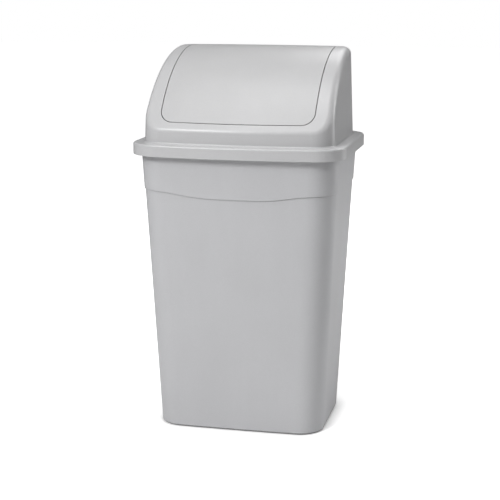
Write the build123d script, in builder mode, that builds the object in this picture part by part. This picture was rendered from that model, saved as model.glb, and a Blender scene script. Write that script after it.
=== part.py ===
# Swing-lid kitchen bin: tapered bucket, lift-off hood, free-swinging flap on two pins.
# Millimetres, +Z up, front faces -Y, origin on the floor under the middle of the bin.
import os
from math import atan2, cos, degrees, radians, sin, sqrt, tan

from build123d import *

os.makedirs("parts", exist_ok=True)

# Whole object
height = 660.0
lid_seat = 503.1

# Bucket
base_half_width = 147.0
base_half_depth = 112.0
base_corner = 44.0
base_bow = 2.5
mouth_half_width = 171.0
mouth_half_depth = 144.7
mouth_corner = 47.0
mouth_bow = 14.5
bucket_wall = 2.5
base_edge = 5.0
floor_thickness = 2.8
floor_edge = 5.0
foot_height = 8.0
foot_recess = 4.0
foot_width = 14.0

# Proud top zone of the bucket, with its lower edge dipping across the front
shoulder_level = 424.8
shoulder_dip = 9.5
shoulder_flat = 35.0
shoulder_reach = 150.0
shoulder_step = 1.6

# Rolled rim of the bucket, under the skirt of the hood
rim_overhang = 11.1
rim_thickness = 2.4
rim_lip_depth = 13.0
rim_clearance = 0.8
rim_edge = 1.2

# Hood skirt and ledge
hood_wall = 2.5
skirt_half_width = mouth_half_width + rim_overhang + rim_clearance + hood_wall
skirt_half_depth = mouth_half_depth + rim_overhang + rim_clearance + hood_wall
skirt_corner = 58.0
skirt_bow = 16.0
skirt_drop = 17.7
skirt_edge = 3.5

# Hood dome
ledge_side = 20.0
ledge_front = 19.1
plinth_half_width = skirt_half_width - ledge_side
plinth_half_depth = skirt_half_depth - ledge_front
plinth_corner = 39.0
plinth_bow = 14.5
plinth_height = 24.9
plinth_root = 3.0
dome_draft = 2.3
slope_lean = 37.5
crown_radius = 255.0
dome_edge = 13.0

# Flap and its opening
flap_side_margin = 33.4
flap_foot_margin = 11.5
flap_rear_margin = 44.0
flap_foot_bow = 9.0
flap_foot_corner = 24.0
flap_rear_corner = 12.0
flap_wall = 2.2
flap_gap = 1.2
rib_inset = 4.0
rib_thickness = 2.0
rib_depth = 14.0

# Pivot of the flap
pivot_y = -22.9
pivot_depth = 6.2
pin_radius = 2.0
pin_play = 0.05
pin_head_radius = 3.4
pin_head_thickness = 1.6
lug_radius = 4.6
lug_length = 5.0
lug_overhang = 2.0
pin_nose = 1.5
pin_tip = 0.8
ear_radius = 4.8
ear_thickness = 3.6
ear_clearance = 2.4

# Overlap of construction blocks and slack when edges are picked by place, and bands of the bucket wall
seam = 1.0
wall_bands = 4

# Derived places
ledge_top = lid_seat + hood_wall
skirt_foot = lid_seat - skirt_drop
crease_level = ledge_top + plinth_height
crease_y = plinth_height * tan(radians(dome_draft)) - plinth_half_depth
lean = radians(slope_lean)
bow_radius = (plinth_half_width**2 + plinth_bow**2) / (2 * plinth_bow)
bow_axis_y = bow_radius - plinth_half_depth
crown_z = height - crown_radius
crown_y = crease_y + (crown_radius - (crease_level - crown_z) * sin(lean)) / cos(lean)
beyond = 2 * skirt_half_width

# The bowed front is turned about a far upright axis behind the bin
bow_axis = Axis((0, bow_axis_y, 0), (0, 0, 1))
bow_half = atan2(skirt_half_width, bow_axis_y - skirt_half_depth)
bow_sweep = 2 * degrees(bow_half)
bow_plane = Plane(
    origin=(0, bow_axis_y, 0),
    x_dir=(sin(bow_half), cos(bow_half), 0),
    z_dir=(cos(bow_half), -sin(bow_half), 0),
)

flap_half_width = plinth_half_width - flap_side_margin
flap_foot_level = crease_level + flap_foot_margin
flap_rear = plinth_half_depth - flap_rear_margin
flap_foot_y = crease_y + (flap_foot_level - crease_level) * tan(lean)
flap_chord = sqrt((flap_rear - flap_foot_y) ** 2 + (height - flap_foot_level) ** 2)
flap_tilt = atan2(height - flap_foot_level, flap_rear - flap_foot_y)
flap_plane = Plane(
    origin=(0, flap_foot_y, flap_foot_level),
    x_dir=(1, 0, 0),
    z_dir=(0, -sin(flap_tilt), cos(flap_tilt)),
)

# Reach of the flap prism: below its chord past the rib and the bow, above it past the crown
prism_below = flap_wall + rib_depth + flap_foot_bow
prism_above = 2 * (crown_radius - sqrt(crown_radius**2 - (flap_chord / 2) ** 2))

lug_outer = flap_half_width - rib_inset + lug_overhang
lug_inner = lug_outer - lug_length
ear_inner = flap_half_width + flap_gap + ear_clearance
ear_outer = ear_inner + ear_thickness

# The skin falls away sideways with the bow, so the pivot depth is taken at the outer face of the ear
skin_y = bow_axis_y - sqrt(ear_outer**2 + (bow_axis_y - pivot_y) ** 2)
pivot_z = crown_z + sqrt(crown_radius**2 - (skin_y - crown_y) ** 2) - pivot_depth


# Outline shared by every level of the bin: straight sides, bowed front and back, round corners
def bowed_rectangle(half_width, half_depth, bow, corner):
    with BuildSketch() as outline:
        with BuildLine():
            side_y = half_depth - bow
            ThreePointArc((-half_width, -side_y), (0, -half_depth), (half_width, -side_y))
            Line((half_width, -side_y), (half_width, side_y))
            ThreePointArc((half_width, side_y), (0, half_depth), (-half_width, side_y))
            Line((-half_width, side_y), (-half_width, -side_y))
        make_face()
        fillet(outline.vertices(), corner)
    return outline.sketch


# Outline of the bucket, changing evenly from share 0 at its foot to share 1 at its mouth
def bucket_outline(share, grow):
    half_width = base_half_width + share * (mouth_half_width - base_half_width)
    half_depth = base_half_depth + share * (mouth_half_depth - base_half_depth)
    bow = base_bow + share * (mouth_bow - base_bow)
    corner = base_corner + share * (mouth_corner - base_corner)
    return bowed_rectangle(half_width + grow, half_depth + grow, bow, corner + grow)


def plinth_outline(grow):
    return bowed_rectangle(
        plinth_half_width + grow, plinth_half_depth + grow, plinth_bow, plinth_corner + grow
    )


def skirt_outline(grow):
    return bowed_rectangle(
        skirt_half_width + grow, skirt_half_depth + grow, skirt_bow, skirt_corner + grow
    )


# The rim of the bucket fills the skirt of the hood, less its clearance
def rim_outline(grow):
    return skirt_outline(grow - hood_wall - rim_clearance)


# Block from the floor to the seat of the hood: upright foot, then a tapered wall in bands
def bucket_block(grow):
    with BuildPart() as block:
        for band in range(wall_bands + 1):
            share = band / wall_bands
            with BuildSketch(Plane.XY.offset(foot_height + share * (lid_seat - foot_height))):
                add(bucket_outline(share, grow))
        loft(ruled=True)
        with BuildSketch(Plane.XY):
            add(bucket_outline(0, grow))
        extrude(amount=foot_height)
    return block.part


# Space above the dipping line, raised by a distance
def above_shoulder(lift):
    level = shoulder_level + lift
    dip = level - shoulder_dip
    middle = ((shoulder_flat + shoulder_reach) / 2, (level + dip) / 2)
    with BuildPart() as zone:
        with BuildSketch(Plane.XY.offset(level)):
            Rectangle(beyond * 2, beyond * 2)
        extrude(amount=height)
        with BuildSketch(Plane.XZ):
            with BuildLine():
                bottom = Line((0, dip), (shoulder_flat, dip))
                lower = TangentArc(bottom @ 1, middle, tangent=(1, 0))
                upper = TangentArc(middle, (shoulder_reach, level), tangent=lower % 1)
                top = level + seam
                Polyline(upper @ 1, (shoulder_reach, top), (0, top), (0, dip))
            make_face()
            mirror(about=Plane.YZ)
        extrude(amount=beyond)
    return zone.part


# Block of the top zone, proud of the wall below its dipping line
def proud_block(grow, lift):
    with BuildPart() as block:
        add(bucket_block(grow + shoulder_step))
        add(above_shoulder(lift), mode=Mode.INTERSECT)
    return block.part


# Side view of the dome: leaning front, crown arc and flat top, open towards the foot and the back
def dome_profile(foot, tangent, top, back):
    with BuildSketch() as profile:
        with BuildLine():
            slope = Line(foot, tangent)
            TangentArc(tangent, (crown_y, top), tangent=slope % 1)
            Polyline((crown_y, top), (back, top), (back, foot[1]), foot)
        make_face()
    return profile.sketch


# Dome of the hood: drafted walls cut by the lean, crown and flat top, all set in by one distance
def dome_block(inset):
    top = height - inset
    radius = crown_radius - inset
    tangent = (crown_y - radius * cos(lean), crown_z + radius * sin(lean))
    foot_level = skirt_foot - hood_wall
    foot = (tangent[0] - (tangent[1] - foot_level) * tan(lean), foot_level)
    back = skirt_half_depth
    with BuildPart() as block:
        with BuildSketch(Plane.XY.offset(ledge_top)):
            add(plinth_outline(-inset))
        extrude(amount=height - lid_seat, taper=dome_draft)
        with BuildSketch(bow_plane):
            with Locations((-bow_axis_y, 0)):
                add(dome_profile(foot, tangent, top, back))
        revolve(axis=bow_axis, revolution_arc=bow_sweep, mode=Mode.INTERSECT)
    return block.part


# Dome with its crease, side edges and top edges rounded in one unbroken run
def rounded_dome(inset):
    with BuildPart() as block:
        add(dome_block(inset))
        above_ledge = block.edges().filter_by(
            lambda e: e.bounding_box().min.Z > ledge_top + seam
        )
        rim = above_ledge.filter_by(
            lambda e: abs((e @ 0.5).X) > seam
            or (e @ 0.5).Z < crease_level + hood_wall
            or (e @ 0.5).Y > crown_y + dome_edge
        )
        fillet(rim, dome_edge - inset)
    return block.part


# Outline of the flap on its chord plane, grown for the opening and shrunk for the rib
def flap_outline(grow):
    with BuildSketch() as outline:
        with BuildLine():
            side_foot = (flap_half_width, flap_foot_bow)
            side_top = (flap_half_width, flap_chord)
            ThreePointArc((-side_foot[0], side_foot[1]), (0, 0), side_foot)
            Line(side_foot, side_top)
            Line(side_top, (-side_top[0], side_top[1]))
            Line((-side_top[0], side_top[1]), (-side_foot[0], side_foot[1]))
        make_face()
        fillet(outline.vertices().group_by(Axis.Y)[0], flap_foot_corner)
        fillet(outline.vertices().group_by(Axis.Y)[-1], flap_rear_corner)
        if grow:
            offset(amount=grow)
    return outline.sketch


# Prism through the skin of the dome, square to the chord of the flap
def flap_prism(grow):
    with BuildPart() as prism:
        with BuildSketch(flap_plane.offset(-prism_below)):
            add(flap_outline(grow))
        extrude(amount=prism_below + prism_above)
    return prism.part


# Round disc on the pivot axis with a web up to the skin, kept inside the skin by an inset
def pivot_plate(radius, inner, outer, inset):
    with BuildPart() as plate:
        with BuildSketch(Plane.YZ.offset(inner)):
            with Locations((pivot_y, pivot_z)):
                Circle(radius)
                Rectangle(2 * radius, 2 * radius, align=(Align.CENTER, Align.MIN))
        extrude(amount=outer - inner)
        add(dome_block(inset), mode=Mode.INTERSECT)
        mirror(about=Plane.YZ)
    return plate.part


# Straight shaft hole or pin body along the pivot axis, on the right-hand side
def pivot_cylinder(radius, inner, outer):
    with BuildPart() as cylinder:
        with BuildSketch(Plane.YZ.offset(inner)):
            with Locations((pivot_y, pivot_z)):
                Circle(radius)
        extrude(amount=outer - inner)
    return cylinder.part


# Hollow of the bucket above its floor
with BuildPart() as bin_hollow:
    add(bucket_block(-bucket_wall))
    split(bisect_by=Plane.XY.offset(floor_thickness), keep=Keep.TOP)
    fillet(bin_hollow.edges().group_by(Axis.Z)[0], floor_edge)
    add(proud_block(-bucket_wall, bucket_wall))

# Bucket with its stepped wall, rolled rim and recessed foot
with BuildPart() as bin_body:
    add(bucket_block(0))
    fillet(bin_body.edges().group_by(Axis.Z)[0], base_edge)
    add(proud_block(0, 0))
    with BuildSketch(Plane.XY.offset(lid_seat)):
        add(rim_outline(0))
    extrude(amount=-rim_thickness)
    with BuildSketch(Plane.XY.offset(lid_seat)):
        add(rim_outline(0))
        add(rim_outline(-rim_thickness), mode=Mode.SUBTRACT)
    extrude(amount=-rim_lip_depth)
    fillet(bin_body.edges().group_by(Axis.Z)[-1], rim_edge)
    add(bin_hollow.part, mode=Mode.SUBTRACT)
    with BuildSketch(Plane.XY.offset(floor_thickness)):
        add(bucket_outline(0, floor_thickness - foot_width))
    extrude(amount=foot_recess)
    with BuildSketch(Plane.XY):
        add(bucket_outline(0, -foot_width))
    extrude(amount=foot_recess, mode=Mode.SUBTRACT)

# Hollow of the hood: skirt below the seat, dome above it
with BuildPart() as hood_hollow:
    with BuildSketch(Plane.XY.offset(skirt_foot)):
        add(skirt_outline(-hood_wall))
    extrude(amount=skirt_drop)
    with BuildSketch(Plane.XY.offset(ledge_top)):
        add(plinth_outline(-hood_wall))
    extrude(amount=-hood_wall)
    add(rounded_dome(hood_wall))

# Hood in one moulding: skirt, ledge, dome with the flap opening, and two ears for the pins
with BuildPart() as lid_hood:
    with BuildSketch(Plane.XY.offset(skirt_foot)):
        add(skirt_outline(0))
    extrude(amount=ledge_top - skirt_foot)
    fillet(lid_hood.edges().group_by(Axis.Z)[-1], skirt_edge)
    add(rounded_dome(0))
    plinth_edges = lid_hood.edges().filter_by_position(Axis.Z, ledge_top, ledge_top)
    root = plinth_edges.filter_by(
        lambda e: abs((e @ 0.5).X) < plinth_half_width + seam
        and abs((e @ 0.5).Y) < plinth_half_depth + seam
    )
    fillet(root, plinth_root)
    add(hood_hollow.part, mode=Mode.SUBTRACT)
    add(flap_prism(flap_gap), mode=Mode.SUBTRACT)
    add(pivot_plate(ear_radius, ear_inner, ear_outer, hood_wall / 2))
    bore = pivot_cylinder(pin_radius + pin_play, ear_inner, ear_outer)
    add(bore, mode=Mode.SUBTRACT)
    add(bore.mirror(Plane.YZ), mode=Mode.SUBTRACT)

# Stiffening rib under the flap, set in from its edge
with BuildPart() as flap_rib:
    add(flap_prism(-rib_inset))
    add(flap_prism(-rib_inset - rib_thickness), mode=Mode.SUBTRACT)
    add(dome_block(flap_wall / 2), mode=Mode.INTERSECT)
    add(dome_block(flap_wall + rib_depth), mode=Mode.SUBTRACT)

# Swing flap: skin of the dome cut free along the gap, rib and two lugs
with BuildPart() as swing_flap:
    add(flap_prism(0))
    add(dome_block(0), mode=Mode.INTERSECT)
    add(dome_block(flap_wall), mode=Mode.SUBTRACT)
    add(flap_rib.part)
    add(pivot_plate(lug_radius, lug_inner, lug_outer, flap_wall / 2))
    socket = pivot_cylinder(pin_radius, lug_inner, lug_outer)
    add(socket, mode=Mode.SUBTRACT)
    add(socket.mirror(Plane.YZ), mode=Mode.SUBTRACT)

# Headed pin: head against the inside of the lug, shank through lug and ear
with BuildPart() as pivot_pin_right:
    add(pivot_cylinder(pin_radius, lug_inner, ear_outer + pin_nose))
    chamfer(pivot_pin_right.edges().group_by(Axis.X)[-1], pin_tip)
    add(pivot_cylinder(pin_head_radius, lug_inner - pin_head_thickness, lug_inner))

with BuildPart() as pivot_pin_left:
    add(pivot_pin_right.part.mirror(Plane.YZ))

pieces = {
    "bin_body": bin_body,
    "lid_hood": lid_hood,
    "swing_flap": swing_flap,
    "pivot_pin_left": pivot_pin_left,
    "pivot_pin_right": pivot_pin_right,
}
for name, piece in pieces.items():
    piece.part.label = name
    export_step(piece.part, f"parts/{name}.step")
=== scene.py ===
# Looks of the swing-lid kitchen bin: studio, camera and moulded plastic for each CAD node. Metres, +Z up.
from math import cos, radians, sin

import bpy
from mathutils import Matrix, Vector

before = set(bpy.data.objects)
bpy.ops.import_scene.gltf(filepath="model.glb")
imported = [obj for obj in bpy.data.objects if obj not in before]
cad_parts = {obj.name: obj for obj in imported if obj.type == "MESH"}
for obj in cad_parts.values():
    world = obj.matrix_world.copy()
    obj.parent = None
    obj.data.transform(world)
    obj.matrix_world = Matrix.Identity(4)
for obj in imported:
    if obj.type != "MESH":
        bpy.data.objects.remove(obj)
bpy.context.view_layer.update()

# Camera: where it stands, seen from the middle of the bin, what it frames and how far it sees
image_width_px = 500
focal_px = 1333.0
sensor_mm = 36.0
camera_azimuth = radians(12.91)
camera_pitch = radians(11.81)
camera_roll = radians(0.11)
camera_distance = 2.3835
aim_height = 0.33
aim_right = -0.0025
aim_up = -0.0275
view_depth = 50

# Plastic edges: rounding, the cosines of lean between which they turn paler as a painted highlight, and how
# much paler
edge_softness = 0.0006
edge_lean_span = (0.80, 0.98)
edge_paleness = 1.05
edge_samples = 6

# Painted shade in narrow gaps: its reach, the openness over which it fades, the tint at its darkest
cavity_reach = 0.005
cavity_span = (0.2, 0.8)
cavity_shade = 0.06
shade_samples = 8

# Plastic texture: noise scales per metre, the part of the noise that is used, and how far each tint swings
cloud_scale = 9.0
streak_scale = (30.0, 30.0, 5.0)
speck_scale = 420.0
grain_scale = 900.0
noise_span = (0.3, 0.7)
cloud_tint = (0.985, 1.015)
streak_tint = (0.99, 1.01)
speck_tint = (0.985, 1.015)
sheen_spread = 0.03

# Floor at the foot: reach of the contact shadow, openness over which it fades, share of the lift left
contact_reach = 0.03
contact_span = (0.45, 0.95)
contact_lift = 0.25


def add_camera():
    a, e, r = camera_azimuth, camera_pitch, camera_roll
    forward = Vector((-sin(a) * cos(e), cos(a) * cos(e), -sin(e)))
    right = Vector((cos(a), sin(a), 0))
    up = right.cross(forward)
    aim = Vector((0, 0, aim_height)) + right * aim_right + up * aim_up
    place = aim - forward * camera_distance
    rolled_right = right * cos(r) + up * sin(r)
    rolled_up = up * cos(r) - right * sin(r)
    data = bpy.data.cameras.new("photo_camera")
    data.sensor_width = sensor_mm
    data.lens = focal_px / image_width_px * sensor_mm
    data.clip_end = view_depth
    camera = bpy.data.objects.new("photo_camera", data)
    axes = Matrix((rolled_right, rolled_up, -forward)).transposed().to_4x4()
    camera.matrix_world = Matrix.Translation(place) @ axes
    bpy.context.scene.collection.objects.link(camera)
    bpy.context.scene.camera = camera


def add_softbox(name, azimuth, elevation, distance, width, height, watts):
    # Azimuth 0 is in front of the bin, positive towards its right-hand side
    a, e = radians(azimuth), radians(elevation)
    aim = Vector((0, 0, aim_height))
    out = Vector((sin(a) * cos(e), -cos(a) * cos(e), sin(e)))
    data = bpy.data.lights.new(name, "AREA")
    data.shape = "RECTANGLE"
    data.size = width
    data.size_y = height
    data.energy = watts
    lamp = bpy.data.objects.new(name, data)
    lamp.location = aim + out * distance
    lamp.rotation_euler = (-out).to_track_quat("-Z", "Y").to_euler()
    bpy.context.scene.collection.objects.link(lamp)


def add_world(side, top):
    # Nearly dark room, brighter overhead, seen as plain white where the camera looks past the object
    world = bpy.data.worlds.new("studio")
    bpy.context.scene.world = world
    world.use_nodes = True
    nodes, links = world.node_tree.nodes, world.node_tree.links
    nodes.clear()
    coords = nodes.new("ShaderNodeTexCoord")
    split = nodes.new("ShaderNodeSeparateXYZ")
    links.new(coords.outputs["Generated"], split.inputs[0])
    ramp = nodes.new("ShaderNodeMapRange")
    ramp.inputs["To Min"].default_value = side
    ramp.inputs["To Max"].default_value = top
    links.new(split.outputs["Z"], ramp.inputs["Value"])
    light = nodes.new("ShaderNodeBackground")
    light.inputs["Color"].default_value = (1, 1, 1, 1)
    links.new(ramp.outputs["Result"], light.inputs["Strength"])
    seen = nodes.new("ShaderNodeBackground")
    seen.inputs["Color"].default_value = (1, 1, 1, 1)
    path = nodes.new("ShaderNodeLightPath")
    mix = nodes.new("ShaderNodeMixShader")
    links.new(path.outputs["Is Camera Ray"], mix.inputs["Fac"])
    links.new(light.outputs[0], mix.inputs[1])
    links.new(seen.outputs[0], mix.inputs[2])
    out = nodes.new("ShaderNodeOutputWorld")
    links.new(mix.outputs[0], out.inputs["Surface"])


def add_floor(half_size, albedo, near_lift, near_radius, far_radius):
    # Pale matt floor: the lift is seen by the camera alone, and is lower near the bin, under its shadow.
    # It also fades where something stands close over the floor, which leaves the thin contact shadow.
    mesh = bpy.data.meshes.new("studio_floor")
    s = half_size
    mesh.from_pydata([(-s, -s, 0), (s, -s, 0), (s, s, 0), (-s, s, 0)], [], [(0, 1, 2, 3)])
    floor = bpy.data.objects.new("studio_floor", mesh)
    bpy.context.scene.collection.objects.link(floor)
    material = bpy.data.materials.new("studio_floor")
    material.use_nodes = True
    nodes, links = material.node_tree.nodes, material.node_tree.links
    nodes.clear()
    matt = nodes.new("ShaderNodeBsdfDiffuse")
    matt.inputs["Color"].default_value = (albedo, albedo, albedo, 1)
    coords = nodes.new("ShaderNodeTexCoord")
    radius = nodes.new("ShaderNodeVectorMath")
    radius.operation = "LENGTH"
    links.new(coords.outputs["Object"], radius.inputs[0])
    lift = map_range(nodes, links, radius.outputs["Value"], (near_radius, far_radius), (near_lift, 1.0))
    path = nodes.new("ShaderNodeLightPath")
    level = nodes.new("ShaderNodeMath")
    level.operation = "MULTIPLY"
    links.new(path.outputs["Is Camera Ray"], level.inputs[0])
    links.new(lift, level.inputs[1])
    contact = nodes.new("ShaderNodeAmbientOcclusion")
    contact.samples = shade_samples
    contact.inputs["Distance"].default_value = contact_reach
    open_floor = map_range(nodes, links, contact.outputs["AO"], contact_span, (contact_lift, 1.0))
    glow = nodes.new("ShaderNodeEmission")
    links.new(product(nodes, links, level.outputs[0], open_floor), glow.inputs["Strength"])
    both = nodes.new("ShaderNodeAddShader")
    links.new(matt.outputs[0], both.inputs[0])
    links.new(glow.outputs[0], both.inputs[1])
    out = nodes.new("ShaderNodeOutputMaterial")
    links.new(both.outputs[0], out.inputs["Surface"])
    mesh.materials.append(material)


def map_range(nodes, links, source, given, wanted):
    node = nodes.new("ShaderNodeMapRange")
    node.inputs["From Min"].default_value = given[0]
    node.inputs["From Max"].default_value = given[1]
    node.inputs["To Min"].default_value = wanted[0]
    node.inputs["To Max"].default_value = wanted[1]
    links.new(source, node.inputs["Value"])
    return node.outputs["Result"]


def noise(nodes, links, vector, scale, detail):
    node = nodes.new("ShaderNodeTexNoise")
    node.inputs["Scale"].default_value = scale
    node.inputs["Detail"].default_value = detail
    links.new(vector, node.inputs["Vector"])
    return node.outputs["Fac"]


def product(nodes, links, *factors):
    result = factors[0]
    for factor in factors[1:]:
        node = nodes.new("ShaderNodeMath")
        node.operation = "MULTIPLY"
        links.new(result, node.inputs[0])
        links.new(factor, node.inputs[1])
        result = node.outputs[0]
    return result


def moulded_plastic(name, colour, roughness, grain_height):
    # Satin moulded plastic: spark-eroded grain, faint flow marks, painted highlights on sharp edges,
    # painted shade in the gaps
    material = bpy.data.materials.new(name)
    material.use_nodes = True
    nodes, links = material.node_tree.nodes, material.node_tree.links
    shader = nodes["Principled BSDF"]
    place = nodes.new("ShaderNodeTexCoord").outputs["Object"]

    # Rounded normal of every sharp edge, and how far it leans from the true one
    soft_edge = nodes.new("ShaderNodeBevel")
    soft_edge.samples = edge_samples
    soft_edge.inputs["Radius"].default_value = edge_softness
    face = nodes.new("ShaderNodeNewGeometry")
    facing = nodes.new("ShaderNodeVectorMath")
    facing.operation = "DOT_PRODUCT"
    links.new(soft_edge.outputs["Normal"], facing.inputs[0])
    links.new(face.outputs["Normal"], facing.inputs[1])
    # Painted highlight: edges turn paler where the rounded normal leans from the true one
    painted_edge_highlight = map_range(nodes, links, facing.outputs["Value"], edge_lean_span, (edge_paleness, 1.0))

    # Painted shade in cavities and narrow gaps, where little light reaches
    cavity = nodes.new("ShaderNodeAmbientOcclusion")
    cavity.samples = shade_samples
    cavity.inputs["Distance"].default_value = cavity_reach
    painted_gap_shade = map_range(nodes, links, cavity.outputs["AO"], cavity_span, (cavity_shade, 1.0))

    cloud = noise(nodes, links, place, cloud_scale, 3.0)
    stretch = nodes.new("ShaderNodeMapping")
    stretch.inputs["Scale"].default_value = streak_scale
    links.new(place, stretch.inputs["Vector"])
    flow = noise(nodes, links, stretch.outputs["Vector"], 1.0, 4.0)
    speck = noise(nodes, links, place, speck_scale, 2.0)
    tint = product(
        nodes, links,
        map_range(nodes, links, cloud, noise_span, cloud_tint),
        map_range(nodes, links, flow, noise_span, streak_tint),
        map_range(nodes, links, speck, noise_span, speck_tint),
        painted_edge_highlight, painted_gap_shade,
    )
    base = nodes.new("ShaderNodeMix")
    base.data_type = "RGBA"
    base.blend_type = "MULTIPLY"
    base.inputs["Factor"].default_value = 1.0
    base.inputs["A"].default_value = (*colour, 1)
    links.new(tint, base.inputs["B"])
    links.new(base.outputs["Result"], shader.inputs["Base Color"])

    sheen = map_range(nodes, links, cloud, noise_span, (roughness - sheen_spread, roughness + sheen_spread))
    links.new(sheen, shader.inputs["Roughness"])

    bump = nodes.new("ShaderNodeBump")
    bump.inputs["Distance"].default_value = grain_height
    links.new(noise(nodes, links, place, grain_scale, 2.0), bump.inputs["Height"])
    links.new(soft_edge.outputs["Normal"], bump.inputs["Normal"])
    links.new(bump.outputs["Normal"], shader.inputs["Normal"])
    return material


def finish_node(node, material):
    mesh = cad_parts[node].data
    mesh.materials.clear()
    mesh.materials.append(material)


# One grey plastic for every part; the hood's and the flap's copies are darker, the flap's most, as painted
# shade where the lamps light the sloping top more
bucket = moulded_plastic("bucket_grey", (0.515, 0.516, 0.529), 0.42, 0.00002)
hood = moulded_plastic("hood_grey", (0.510, 0.510, 0.517), 0.34, 0.00002)
flap = moulded_plastic("flap_grey", (0.494, 0.494, 0.499), 0.40, 0.00002)
pin = moulded_plastic("pin_grey", (0.48, 0.485, 0.50), 0.35, 0.00001)
finish_node("bin_body", bucket)
finish_node("lid_hood", hood)
finish_node("swing_flap", flap)
for side in ("left", "right"):
    finish_node(f"pivot_pin_{side}", pin)

add_camera()
add_world(side=0.0, top=0.02)
add_floor(half_size=12.0, albedo=0.85, near_lift=0.62, near_radius=0.30, far_radius=1.0)
add_softbox("key", azimuth=-27, elevation=33, distance=4.0, width=1.2, height=1.2, watts=88)
add_softbox("fill_front", azimuth=-8, elevation=44, distance=4.0, width=2.0, height=1.6, watts=20)
add_softbox("high_front", azimuth=-10, elevation=65, distance=3.2, width=1.6, height=1.4, watts=18)
add_softbox("overhead", azimuth=0, elevation=85, distance=3.2, width=1.6, height=1.4, watts=33)
add_softbox("side_right", azimuth=124, elevation=24, distance=3.2, width=0.8, height=2.0, watts=23)
add_softbox("side_low", azimuth=132, elevation=8, distance=3.2, width=0.8, height=2.0, watts=14)
add_softbox("back", azimuth=170, elevation=42, distance=3.2, width=1.6, height=1.3, watts=21)

bpy.context.scene.view_settings.view_transform = "Standard"
